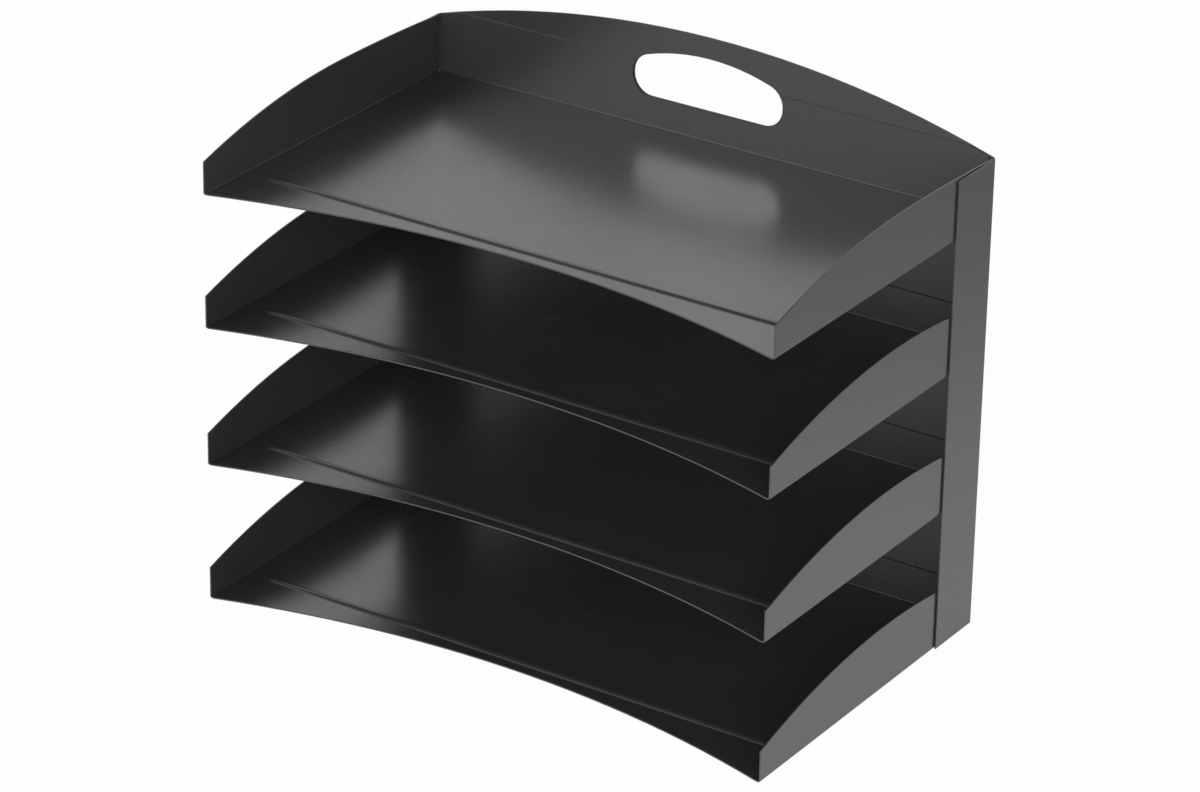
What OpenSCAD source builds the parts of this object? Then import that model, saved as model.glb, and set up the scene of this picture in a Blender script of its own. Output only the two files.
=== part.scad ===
// Four-tier letter tray: open sheet-steel trays held by one rear case with a carrying handle.
// Millimetres, +Z up, +X to the right and +Y to the back. The origin is on the surface that
// the part stands on, under the middle of the whole part.

/* [Overall] */
// Width over the side walls of the trays
stack_w = 370; // [320:1:430]
// Depth from the trays' front corners to the rear face of the back panel
stack_d = 227; // [205:1:280]
// Height from one floor to the next, up to the second tray
tray_pitch = 84.9; // [60:0.1:110]
// Height from the second tray's floor to the top tray's
top_pitch = 81; // [60:0.1:110]
// Thickness of the sheet steel
sheet_t = 0.8; // [0.6:0.1:1.4]
// Inside radius of the folds
bend_r = 0.4; // [0.3:0.1:1.5]

/* [Trays] */
// Height of the side walls at the front edge
wall_front_h = 19.5; // [12:0.1:26]
// Greatest height of the three lower trays' side walls
wall_peak_h = 39.4; // [32:0.1:50]
// Greatest height of the top tray's side walls
top_peak_h = 38.3; // [37:0.1:50]
// Distance from the front corners to the highest point of the walls
wall_peak_y = 130; // [90:1:150]
// Depth of the hollow in the front edge of a floor
scoop_depth = 28; // [10:1:30]
// Straight part of a floor's front edge beside each side fold
front_land = 1.5; // [1.5:0.1:4]
// Distance from the front corners to the middle of the stiffening bead
bead_y = 37; // [35:1:60]
// Width of the bead
bead_w = 5; // [4:0.5:8]
// Height of the bead above the floor
bead_h = 1.1; // [0.8:0.1:2]
// Distance from the outer face of a side wall to the end of the bead
bead_inset = 15; // [8:1:40]

/* [Rear edges of the trays] */
// Height of the top tray's back wall
back_wall_h = 39.4; // [36:0.1:50]
// Height of the lower trays' rear lip
lip_h = 24; // [18:1:32]
// Radius of the lip's upper corners
lip_corner_r = 4; // [1:0.5:8]
// Gap between the ends of a rear lip and the side walls
corner_gap = 2; // [1:0.5:5]
// Radius of the relief hole where two folds meet
relief_r = 3; // [2:0.5:5]

/* [Rear case] */
// Depth of the side flanges
flange_d = 41; // [25:1:55]
// Height of the flanges above the underside of the top tray
flange_top_h = 35.2; // [28:0.1:36]
// Height of the arch's crown above the underside of the top tray
arch_h = 63.1; // [58:0.1:80]
// Inside radius of the case's two rear folds
case_bend_r = 1.2; // [0.8:0.1:3]

/* [Handle] */
// Width of the handle hole
handle_w = 98.8; // [80:0.1:120]
// Height of its lower edge above the underside of the top tray
handle_low_h = 18.9; // [12:0.1:20]
// Height of its crown above the underside of the top tray
handle_high_h = 50.2; // [47:0.1:52]
// Radius of the crown
handle_crown_r = 130; // [110:1:300]
// Radius of its corners
handle_corner_r = 12; // [8:0.5:13]
// How far the notch in the top tray's back wall stays clear of the hole's edge
handle_step = 0.6; // [0.2:0.1:1]

/* [Screws and nuts] */
// Diameter of the screw shanks
screw_d = 3.9; // [3:0.1:4.5]
// Length of the screws under the head
screw_l = 5; // [4.6:0.1:7]
// Diameter of the screw heads
head_d = 8; // [7:0.5:9]
// Height of the screw heads
head_h = 2.4; // [2:0.1:3]
// Length of the slots of the cross recess in a head
recess_l = 4; // [3:0.1:4.5]
// Width of these slots
recess_w = 1; // [0.8:0.1:1.4]
// Depth of these slots
recess_d = 1.2; // [0.8:0.1:1.6]
// Width of the nuts across their flats
nut_af = 7; // [6.5:0.5:8]
// Thickness of the nuts
nut_h = 2.2; // [1.8:0.1:3.2]
// Distance between neighbouring screws
screw_spacing = 170; // [80:1:172]
// Height of the screws above the underside of their tray
screw_h = 13; // [9:0.5:13]

/* [Feet] */
// Diameter of the rubber feet
foot_d = 12; // [8:1:16]
// Height of the rubber feet
foot_h = 2.5; // [1.5:0.1:5]
// Radius of the feet's lower edge
foot_edge_r = 0.8; // [0.3:0.1:1.2]
// Distance from the outer face of a side wall to the middle of a foot
foot_inset_x = 26; // [18:1:60]
// Distance from the front corners to the middle of the front feet
front_foot_y = 24; // [20:1:26]
// Distance from the rear face of the back panel to the middle of the rear feet
rear_foot_y = 20; // [14:1:40]

/* [Fits] */
// Clearance between the side walls of a tray and the case's flanges
case_gap = 0.3; // [0.05:0.05:1]
// Gap between two sheets that lie against each other
seat_gap = 0.1; // [0.05:0.05:0.3]
// Clearance round a screw in the sheets, on the radius
hole_gap = 0.2; // [0.1:0.05:0.5]
// Clearance round a screw in its nut, on the radius
thread_gap = 0.03; // [0.01:0.01:0.1]

/* [Hidden] */

$fn = 96;
cut = 1;            // how far a cutting shape runs past what it cuts
lap = 1;            // how far the pieces of one sheet's shape run into each other
crown_inset = 0.01; // how far the hole's crown lies inside its corners, so that they cross
smooth_fn = 720;    // facets of the long, flat arcs

steel = "#2b2a2c";
bare_steel = "#55565a";
rubber = "#161617";

half_w = stack_w / 2;
case_half_w = half_w + case_gap + sheet_t;
outer_r = bend_r + sheet_t;
case_outer_r = case_bend_r + sheet_t;

// Depths are measured from the trays' front corners, and the screw heads stand out behind.
front_y = -(stack_d + head_h) / 2;
panel_y = stack_d - sheet_t;
flange_y = stack_d - flange_d;
lip_y = panel_y - seat_gap;
wall_end_y = stack_d - case_outer_r;   // where the case's folds begin
lip_half_w = half_w - sheet_t - corner_gap;

bottom_z = foot_h;
third_z = bottom_z + tray_pitch;
second_z = third_z + tray_pitch;
top_z = second_z + top_pitch;

screw_xs = [-screw_spacing, 0, screw_spacing];

// Radius of an arc from its half chord and its rise
function arc_r(half_chord, rise) = (half_chord * half_chord + rise * rise) / (2 * rise);

arch_r = arc_r(case_half_w, arch_h - flange_top_h);

// ---- Shared shapes -------------------------------------------------------------------

module placed(z) {
    translate([0, front_y, z]) children();
}

module both_sides() {
    children();
    mirror([1, 0, 0]) children();
}

// A section drawn in X and Z, run along Y
module along_y(from_y, to_y) {
    translate([0, to_y, 0]) rotate([90, 0, 0]) linear_extrude(to_y - from_y) children();
}

// A section drawn in Y and Z, run along X
module along_x(from_x, to_x) {
    translate([from_x, 0, 0]) rotate([90, 0, 90]) linear_extrude(to_x - from_x) children();
}

// Part of a ring between angle 0 and the given angle
module ring_sector(ring_outer_r, ring_inner_r, angle) {
    reach = 2 * ring_outer_r;
    intersection() {
        difference() {
            circle(ring_outer_r);
            circle(ring_inner_r);
        }
        polygon([[0, 0], [reach, 0], [reach, reach * tan(angle / 2)],
                 [reach * cos(angle), reach * sin(angle)]]);
    }
}

// Fold at the bottom of a sheet that stands up: its outer face is at x, its top at h
module fold_section(x, h) {
    translate([x - outer_r - lap, 0]) square([lap, sheet_t]);
    translate([x - outer_r, outer_r]) rotate(-90) ring_sector(outer_r, bend_r, 90);
    translate([x - sheet_t, outer_r]) square([sheet_t, h - outer_r]);
}

module screw_holes(z, from_y, to_y) {
    for (x = screw_xs)
        translate([x, to_y, z]) rotate([90, 0, 0])
            cylinder(h = to_y - from_y, r = screw_d / 2 + hole_gap);
}

// ---- Trays ---------------------------------------------------------------------------

// Room under the top edge of a wall, seen from the side: an arc that rises to the peak, and
// one that falls behind it
module wall_outline(peak_h, rear_r) {
    front_r = arc_r(wall_peak_y, peak_h - wall_front_h);
    intersection() {
        translate([-cut, -cut]) square([wall_peak_y + cut, 2 * peak_h]);
        translate([wall_peak_y, peak_h - front_r]) circle(front_r, $fn = smooth_fn);
    }
    intersection() {
        translate([wall_peak_y, -cut]) square([stack_d - wall_peak_y, 2 * peak_h]);
        translate([wall_peak_y, peak_h - rear_r]) circle(rear_r, $fn = smooth_fn);
    }
}

module side_wall(peak_h, rear_r) {
    intersection() {
        along_y(0, wall_end_y) fold_section(half_w, peak_h + cut);
        along_x(0, half_w + cut) wall_outline(peak_h, rear_r);
    }
}

// Rod with round ends that shapes the bead: its middle lies on the bead's arc centre
module bead_rod(r) {
    rod_half_l = half_w - bead_inset - bead_w / 2;
    bead_r = arc_r(bead_w / 2, bead_h);
    translate([0, bead_y, sheet_t + bead_h - bead_r]) {
        rotate([0, 90, 0]) cylinder(h = 2 * rod_half_l, r = bead_r - r, center = true);
        for (side = [-1, 1]) translate([side * rod_half_l, 0, 0]) sphere(bead_r - r);
    }
}

// Floor with its hollowed front edge and the bead pressed up out of it
module floor_plate() {
    floor_half_w = half_w - outer_r;
    scoop_r = arc_r(floor_half_w - front_land, scoop_depth);
    difference() {
        union() {
            translate([-floor_half_w, 0, 0]) cube([2 * floor_half_w, lip_y - outer_r, sheet_t]);
            intersection() {
                bead_rod(0);
                translate([-half_w, bead_y - bead_w, 0])
                    cube([stack_w, 2 * bead_w, sheet_t + 2 * bead_h]);
            }
        }
        bead_rod(sheet_t);
        translate([0, scoop_depth - scoop_r, -cut])
            cylinder(h = sheet_t + 2 * cut, r = scoop_r, $fn = smooth_fn);
    }
}

// Relief holes where the rear fold meets the side folds
module fold_reliefs() {
    for (side = [-1, 1])
        translate([side * (half_w - outer_r), lip_y - outer_r, -cut])
            cylinder(h = outer_r + cut, r = relief_r);
}

// Rear fold and the sheet that stands up from it
module rear_fold(h) {
    along_x(-lip_half_w, lip_half_w) fold_section(lip_y, h);
}

// Floor and side walls; the child is the sheet that stands up at the back
module tray_body(peak_h, rear_r) {
    difference() {
        union() {
            floor_plate();
            both_sides() side_wall(peak_h, rear_r);
            children();
        }
        fold_reliefs();
    }
}

module lower_tray() {
    difference() {
        tray_body(wall_peak_h, arc_r(wall_peak_y, wall_peak_h - wall_front_h)) rear_fold(lip_h);
        screw_holes(screw_h, lip_y - sheet_t - cut, lip_y + cut);
        both_sides() translate([lip_half_w - lip_corner_r, 0, lip_h - lip_corner_r])
            along_y(lip_y - sheet_t - cut, lip_y + cut) difference() {
                square(lip_corner_r + cut);
                circle(lip_corner_r);
            }
    }
}

// ---- Rear case -----------------------------------------------------------------------

// Handle hole seen from the front: flat bottom, arched top, round corners
module handle_outline(grow) {
    corner_r = handle_corner_r + grow;
    crown_r = handle_crown_r + grow;
    corner_x = handle_w / 2 - handle_corner_r;
    low_z = handle_low_h + handle_corner_r;
    crown_z = handle_high_h - handle_crown_r;
    reach = handle_crown_r - handle_corner_r;
    high_z = crown_z + sqrt(reach * reach - corner_x * corner_x);
    meet_x = corner_x * crown_r / reach;
    meet_z = crown_z + (high_z - crown_z) * crown_r / reach;
    for (side = [-1, 1]) {
        translate([side * corner_x, low_z]) circle(corner_r);
        translate([side * corner_x, high_z]) circle(corner_r);
    }
    translate([-corner_x, handle_low_h - grow]) square([2 * corner_x, high_z - handle_low_h + grow]);
    translate([-handle_w / 2 - grow, low_z]) square([handle_w + 2 * grow, high_z - low_z]);
    intersection() {
        translate([0, crown_z]) circle(crown_r - crown_inset, $fn = smooth_fn);
        polygon([[-corner_x, high_z], [-meet_x, meet_z], [-meet_x, 2 * handle_high_h],
                 [meet_x, 2 * handle_high_h], [meet_x, meet_z], [corner_x, high_z]]);
    }
}

// Everything under the arch, down to the given depth below the top tray
module arch_outline(below, inset) {
    intersection() {
        translate([-case_half_w - cut, -below])
            square([2 * (case_half_w + cut), below + 2 * arch_h]);
        translate([0, arch_h - arch_r]) circle(arch_r - inset, $fn = smooth_fn);
    }
}

// Plan of the case: back panel, two folds and two flanges
module case_plan() {
    panel_half_w = case_half_w - case_outer_r;
    translate([-panel_half_w, panel_y]) square([2 * panel_half_w, sheet_t]);
    both_sides() {
        translate([panel_half_w, stack_d - case_outer_r])
            ring_sector(case_outer_r, case_bend_r, 90);
        translate([case_half_w - sheet_t, flange_y])
            square([sheet_t, flange_d - case_outer_r]);
    }
}

module back_case() {
    full_h = top_z - bottom_z;
    color(steel) placed(bottom_z) difference() {
        intersection() {
            linear_extrude(full_h + arch_h) case_plan();
            translate([0, 0, full_h]) along_y(0, stack_d + cut) arch_outline(full_h, 0);
        }
        translate([0, 0, full_h]) along_y(panel_y - cut, stack_d + cut) handle_outline(0);
        for (z = [bottom_z, third_z, second_z])
            screw_holes(z - bottom_z + screw_h, panel_y - cut, stack_d + cut);
    }
}

module top_tray() {
    color(steel) placed(top_z) difference() {
        tray_body(top_peak_h, arc_r(stack_d - wall_peak_y, top_peak_h - flange_top_h)) intersection() {
            rear_fold(back_wall_h);
            along_y(0, stack_d) arch_outline(cut, handle_step);
        }
        along_y(lip_y - sheet_t - cut, lip_y + cut) handle_outline(handle_step);
    }
}

module second_tray() {
    color(steel) placed(second_z) lower_tray();
}

module third_tray() {
    color(steel) placed(third_z) lower_tray();
}

module bottom_tray() {
    color(steel) placed(bottom_z) lower_tray();
}

// ---- Screws and nuts -----------------------------------------------------------------

// Pan head seen in half section, standing on its bearing face
module head_profile() {
    round_r = head_h / 2;
    square([head_d / 2 - round_r, head_h]);
    square([head_d / 2, head_h - round_r]);
    translate([head_d / 2 - round_r, head_h - round_r]) circle(round_r);
}

module screw() {
    difference() {
        union() {
            rotate_extrude() head_profile();
            translate([0, 0, -screw_l]) cylinder(h = screw_l + head_h / 2, r = screw_d / 2);
        }
        for (turn = [0, 90]) rotate(turn)
            translate([-recess_l / 2, -recess_w / 2, head_h - recess_d])
                cube([recess_l, recess_w, recess_d + cut]);
    }
}

module nut() {
    difference() {
        cylinder(h = nut_h, r = nut_af / 2 / cos(30), $fn = 6);
        translate([0, 0, -cut]) cylinder(h = nut_h + 2 * cut, r = screw_d / 2 + thread_gap);
    }
}

module screw_row(tray_z) {
    color(bare_steel) placed(tray_z + screw_h)
        for (x = screw_xs) translate([x, stack_d, 0]) rotate([-90, 0, 0]) screw();
}

module nut_row(tray_z) {
    color(bare_steel) placed(tray_z + screw_h)
        for (x = screw_xs) translate([x, lip_y - sheet_t - nut_h, 0]) rotate([-90, 0, 0]) nut();
}

module second_tray_screws() { screw_row(second_z); }
module third_tray_screws() { screw_row(third_z); }
module bottom_tray_screws() { screw_row(bottom_z); }
module second_tray_nuts() { nut_row(second_z); }
module third_tray_nuts() { nut_row(third_z); }
module bottom_tray_nuts() { nut_row(bottom_z); }

// ---- Feet ----------------------------------------------------------------------------

// Flat-bottomed foot with a rounded lower edge, stuck to the underside of the bottom tray
module foot(side, foot_y) {
    color(rubber) placed(0) translate([side * (half_w - foot_inset_x), foot_y, 0]) rotate_extrude() {
        square([foot_d / 2 - foot_edge_r, foot_h]);
        translate([0, foot_edge_r]) square([foot_d / 2, foot_h - foot_edge_r]);
        translate([foot_d / 2 - foot_edge_r, foot_edge_r]) circle(foot_edge_r);
    }
}

module front_left_foot() { foot(-1, front_foot_y); }
module front_right_foot() { foot(1, front_foot_y); }
module rear_left_foot() { foot(-1, stack_d - rear_foot_y); }
module rear_right_foot() { foot(1, stack_d - rear_foot_y); }

back_case();
top_tray();
second_tray();
third_tray();
bottom_tray();
second_tray_screws();
third_tray_screws();
bottom_tray_screws();
second_tray_nuts();
third_tray_nuts();
bottom_tray_nuts();
front_left_foot();
front_right_foot();
rear_left_foot();
rear_right_foot();
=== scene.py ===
import bpy
from mathutils import Matrix, Vector


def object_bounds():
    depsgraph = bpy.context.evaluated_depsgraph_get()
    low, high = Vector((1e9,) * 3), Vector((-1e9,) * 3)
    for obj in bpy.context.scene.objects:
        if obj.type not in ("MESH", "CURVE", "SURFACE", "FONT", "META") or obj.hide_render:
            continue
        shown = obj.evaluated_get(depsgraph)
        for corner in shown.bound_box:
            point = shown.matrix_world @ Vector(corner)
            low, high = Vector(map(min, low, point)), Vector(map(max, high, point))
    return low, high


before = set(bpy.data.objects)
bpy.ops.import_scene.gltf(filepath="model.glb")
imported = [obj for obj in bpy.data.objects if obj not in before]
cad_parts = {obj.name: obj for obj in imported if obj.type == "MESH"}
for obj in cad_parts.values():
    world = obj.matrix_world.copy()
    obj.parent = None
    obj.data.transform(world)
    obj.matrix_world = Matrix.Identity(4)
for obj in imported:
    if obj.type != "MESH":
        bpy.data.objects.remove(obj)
cad_low, cad_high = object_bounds()

scene = bpy.context.scene
scene.view_settings.view_transform = "Standard"


# ---- Camera ---------------------------------------------------------------------------

SENSOR_WIDTH = 36.0     # mm
LENS = 155.585          # mm
SHIFT = (0.00245, 0.0006)
CAMERA_PLACE = (1.42776, -2.19877, 1.38753)
CAMERA_RIGHT = (0.834435, 0.550852, 0.016991)
CAMERA_UP = (-0.250102, 0.351025, 0.902348)
CAMERA_BACK = (0.491094, -0.757196, 0.430675)


def add_camera():
    """A long lens from the front right, above the stack."""
    data = bpy.data.cameras.new("camera")
    data.sensor_fit = "HORIZONTAL"
    data.sensor_width = SENSOR_WIDTH
    data.lens = LENS
    data.shift_x, data.shift_y = SHIFT
    data.clip_start = 0.05
    data.clip_end = 60.0
    camera = bpy.data.objects.new("camera", data)
    axes = [Vector(axis) for axis in (CAMERA_RIGHT, CAMERA_UP, CAMERA_BACK)]
    turn = Matrix(axes).transposed().to_4x4()
    camera.matrix_world = Matrix.Translation(CAMERA_PLACE) @ turn
    scene.collection.objects.link(camera)
    scene.camera = camera


add_camera()


# ---- Node helpers ---------------------------------------------------------------------

BEVEL_SAMPLES = 6


class Nodes:
    """A node tree under construction: makes nodes and links them by socket name."""

    def __init__(self, tree):
        self.tree = tree
        self.tree.nodes.clear()

    def node(self, kind, **settings):
        made = self.tree.nodes.new("ShaderNode" + kind)
        for key, value in settings.items():
            setattr(made, key, value)
        return made

    def link(self, source, target):
        self.tree.links.new(source, target)

    def fill(self, socket, value):
        if isinstance(value, (int, float, tuple)):
            socket.default_value = value
        else:
            self.link(value, socket)

    def math(self, operation, a, b=0.0, clamp=False):
        made = self.node("Math", operation=operation, use_clamp=clamp)
        self.fill(made.inputs[0], a)
        self.fill(made.inputs[1], b)
        return made.outputs[0]

    def ranged(self, value, low, high, to_low, to_high):
        """A smooth step from to_low at the value low to to_high at the value high."""
        made = self.node("MapRange", interpolation_type="SMOOTHSTEP")
        self.fill(made.inputs["Value"], value)
        made.inputs["From Min"].default_value = low
        made.inputs["From Max"].default_value = high
        made.inputs["To Min"].default_value = to_low
        made.inputs["To Max"].default_value = to_high
        return made.outputs["Result"]

    def mixed(self, factor, a, b):
        made = self.node("MixRGB")
        self.fill(made.inputs["Fac"], factor)
        self.fill(made.inputs["Color1"], a)
        self.fill(made.inputs["Color2"], b)
        return made.outputs["Color"]

    def noise(self, scale, detail=2.0, rough=0.5):
        made = self.node("TexNoise")
        made.inputs["Scale"].default_value = scale
        made.inputs["Detail"].default_value = detail
        made.inputs["Roughness"].default_value = rough
        self.link(self.node("TexCoord").outputs["Object"], made.inputs["Vector"])
        return made.outputs["Fac"]

    def bump(self, height, strength, distance, normal):
        made = self.node("Bump")
        made.inputs["Strength"].default_value = strength
        made.inputs["Distance"].default_value = distance
        self.link(height, made.inputs["Height"])
        self.link(normal, made.inputs["Normal"])
        return made.outputs["Normal"]

    def rounded(self, radius):
        """Normals rounded over the edges."""
        bevel = self.node("Bevel", samples=BEVEL_SAMPLES)
        bevel.inputs["Radius"].default_value = radius
        return bevel.outputs["Normal"]

    def near_edge(self, radius):
        """How near a point is to an edge: 1 on it, 0 at the radius."""
        dot = self.node("VectorMath", operation="DOT_PRODUCT")
        self.link(self.rounded(radius), dot.inputs[0])
        self.link(self.node("NewGeometry").outputs["Normal"], dot.inputs[1])
        return self.ranged(dot.outputs["Value"], 0.75, 0.995, 1.0, 0.0)


def new_material(name):
    material = bpy.data.materials.new(name)
    material.use_nodes = True
    nodes = Nodes(material.node_tree)
    shader = nodes.node("BsdfPrincipled")
    nodes.link(shader.outputs["BSDF"], nodes.node("OutputMaterial").inputs["Surface"])
    return material, nodes, shader


# ---- Materials ------------------------------------------------------------------------

# Linear colours. Noise scales are per metre, and lengths are in metres.
COAT_DARK = (0.0275, 0.0243, 0.0251, 1)
COAT_PALE = (0.0340, 0.0302, 0.0312, 1)
COAT_SPECK = (0.045, 0.042, 0.044, 1)
COAT_WORN = (0.060, 0.057, 0.059, 1)
COAT_IOR = 1.9
COAT_EDGE = 0.0005      # how far the coat is thin and dull beside a cut edge
COAT_ROUND = 0.0002

RUBBER_CLEAN = (0.012, 0.012, 0.013, 1)
RUBBER_DUSTY = (0.030, 0.029, 0.028, 1)
RUBBER_ROUND = 0.0003

STEEL_DARK = (0.045, 0.045, 0.048, 1)
STEEL_PALE = (0.075, 0.074, 0.076, 1)
STEEL_RUBBED = (0.20, 0.195, 0.19, 1)
STEEL_METALLIC = 0.85
STEEL_EDGE = 0.0003
STEEL_ROUND = 0.0002


def powder_coat():
    """Black semi-gloss powder coat: orange peel, clouding, thin and dull on cut edges."""
    material, n, shader = new_material("powder_coat")
    cloud = n.noise(14.0, 4.0, 0.6)
    peel = n.noise(420.0, 2.0, 0.45)
    grain = n.noise(2600.0, 2.0, 0.6)
    speck = n.ranged(n.noise(1900.0, 1.0, 0.4), 0.68, 0.78, 0.0, 1.0)
    thin = n.ranged(n.noise(95.0, 4.0, 0.65), 0.35, 0.7, 0.15, 1.0)
    edge = n.near_edge(COAT_EDGE)
    wear = n.math("MULTIPLY", edge, thin)
    base = n.mixed(cloud, COAT_DARK, COAT_PALE)
    base = n.mixed(n.math("MULTIPLY", speck, 0.35), base, COAT_SPECK)
    base = n.mixed(n.math("MULTIPLY", wear, 0.25), base, COAT_WORN)
    n.link(base, shader.inputs["Base Color"])
    rough = n.ranged(cloud, 0.3, 0.7, 0.21, 0.26)
    rough = n.math("ADD", rough, n.ranged(grain, 0.3, 0.7, -0.02, 0.03))
    rough = n.math("ADD", rough, n.math("MULTIPLY", wear, 0.06))
    n.link(rough, shader.inputs["Roughness"])
    n.link(n.ranged(edge, 0.0, 1.0, 0.5, 0.1), shader.inputs["Specular IOR Level"])
    shader.inputs["IOR"].default_value = COAT_IOR
    normal = n.bump(peel, 0.10, 0.0001, n.rounded(COAT_ROUND))
    n.link(n.bump(grain, 0.10, 0.00003, normal), shader.inputs["Normal"])
    return material


def foot_rubber():
    """Matt black rubber with a fine moulded grain and a little dust."""
    material, n, shader = new_material("foot_rubber")
    grain = n.noise(2200.0, 3.0, 0.6)
    dust = n.ranged(n.noise(260.0, 4.0, 0.65), 0.45, 0.75, 0.0, 0.4)
    n.link(n.mixed(dust, RUBBER_CLEAN, RUBBER_DUSTY), shader.inputs["Base Color"])
    n.link(n.ranged(grain, 0.3, 0.7, 0.72, 0.9), shader.inputs["Roughness"])
    normal = n.bump(grain, 0.25, 0.00008, n.rounded(RUBBER_ROUND))
    n.link(normal, shader.inputs["Normal"])
    return material


def blackened_steel():
    """Black zinc on screws and nuts: satin, rubbed brighter on its edges."""
    material, n, shader = new_material("blackened_steel")
    grain = n.noise(1500.0, 3.0, 0.6)
    cloud = n.noise(320.0, 3.0, 0.6)
    base = n.mixed(cloud, STEEL_DARK, STEEL_PALE)
    rubbed = n.math("MULTIPLY", n.near_edge(STEEL_EDGE), 0.6)
    n.link(n.mixed(rubbed, base, STEEL_RUBBED), shader.inputs["Base Color"])
    shader.inputs["Metallic"].default_value = STEEL_METALLIC
    n.link(n.ranged(grain, 0.3, 0.7, 0.28, 0.42), shader.inputs["Roughness"])
    normal = n.bump(grain, 0.15, 0.00004, n.rounded(STEEL_ROUND))
    n.link(normal, shader.inputs["Normal"])
    return material


coat, steel, rubber = powder_coat(), blackened_steel(), foot_rubber()
for name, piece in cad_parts.items():
    piece.data.materials.clear()
    if name.endswith(("_screws", "_nuts")):
        piece.data.materials.append(steel)
    elif name.endswith("_foot"):
        piece.data.materials.append(rubber)
    else:
        piece.data.materials.append(coat)


# ---- Stage ----------------------------------------------------------------------------

FLOOR_SIZE = 40.0
FLOOR_COLOUR = (0.9, 0.9, 0.9, 1)
FLOOR_NEAR, FLOOR_FAR = 0.25, 0.9   # m from the middle, between which a gloss sees it dim
FLOOR_FAR_LEVEL = 0.35
WHITE_TO_CAMERA = 0.97              # share of plain white, over the lit and shadowed floor
WHITE_TO_GLOSS = 0.6

CEILING_LEVEL = 0.06    # overhead and on the right, as a gloss sees them
SIDE_LEVEL = 0.25
WORLD_LIGHT = 0.3
LAMP_AIM = (0, 0, 0.15)


def background_seen(n):
    """1 for rays that look at the background: from the camera, or by a gloss or glass."""
    path = n.node("LightPath")
    seen = n.math("ADD", path.outputs["Is Camera Ray"], path.outputs["Is Glossy Ray"], clamp=True)
    return path, n.math("ADD", seen, path.outputs["Is Transmission Ray"], clamp=True)


def add_floor():
    """White floor. In a gloss it is brightest near the object and dims away from it."""
    bpy.ops.mesh.primitive_plane_add(size=FLOOR_SIZE, location=(0, 0, cad_low[2]))
    floor = bpy.context.object
    floor.name = "stage_floor"
    material = bpy.data.materials.new("stage_floor")
    material.use_nodes = True
    n = Nodes(material.node_tree)
    diffuse = n.node("BsdfDiffuse")
    diffuse.inputs["Color"].default_value = FLOOR_COLOUR
    path, seen = background_seen(n)
    camera_ray = path.outputs["Is Camera Ray"]
    away = n.node("VectorMath", operation="LENGTH")
    n.link(n.node("NewGeometry").outputs["Position"], away.inputs[0])
    level = n.ranged(away.outputs["Value"], FLOOR_NEAR, FLOOR_FAR, 1.0, FLOOR_FAR_LEVEL)
    white = n.node("Emission")
    n.link(n.math("MAXIMUM", level, camera_ray), white.inputs["Color"])
    share = n.math("MULTIPLY", camera_ray, WHITE_TO_CAMERA)
    share = n.math("MAXIMUM", share, WHITE_TO_GLOSS)
    mix = n.node("MixShader")
    n.link(n.math("MULTIPLY", seen, share), mix.inputs["Fac"])
    n.link(diffuse.outputs["BSDF"], mix.inputs[1])
    n.link(white.outputs["Emission"], mix.inputs[2])
    n.link(mix.outputs["Shader"], n.node("OutputMaterial").inputs["Surface"])
    floor.data.materials.append(material)


def add_world():
    """White round the object; in a gloss, dark overhead and grey on the right."""
    world = bpy.data.worlds.new("world")
    scene.world = world
    world.use_nodes = True
    n = Nodes(world.node_tree)
    path, seen = background_seen(n)
    split = n.node("SeparateXYZ")
    n.link(n.node("TexCoord").outputs["Generated"], split.inputs["Vector"])
    sky = n.ranged(split.outputs["Z"], 0.55, 0.88, 1.0, CEILING_LEVEL)
    side = n.ranged(split.outputs["X"], -0.1, 0.45, 1.0, SIDE_LEVEL)
    level = n.math("MULTIPLY", n.math("MULTIPLY", sky, side), seen)
    unseen = n.math("SUBTRACT", 1.0, seen)
    level = n.math("ADD", level, n.math("MULTIPLY", unseen, WORLD_LIGHT))
    level = n.math("MAXIMUM", level, path.outputs["Is Camera Ray"])
    shade = n.node("Background")
    n.link(level, shade.inputs["Color"])
    n.link(shade.outputs["Background"], n.node("OutputWorld").inputs["Surface"])


def area_light(name, place, size, power, mirrored):
    """A rectangular lamp that faces the stack. Its own shape shows in a gloss if mirrored."""
    data = bpy.data.lights.new(name, "AREA")
    data.shape = "RECTANGLE"
    data.size, data.size_y = size
    data.energy = power
    lamp = bpy.data.objects.new(name, data)
    lamp.location = place
    aim = Vector(LAMP_AIM) - Vector(place)
    lamp.rotation_euler = aim.to_track_quat("-Z", "Y").to_euler()
    lamp.visible_glossy = mirrored
    scene.collection.objects.link(lamp)


add_floor()
add_world()
area_light("key", (-1.2, -3.0, 1.8), (3.0, 2.4), 28, mirrored=True)
area_light("low", (1.9, -2.9, 1.15), (4.4, 2.2), 150, mirrored=False)
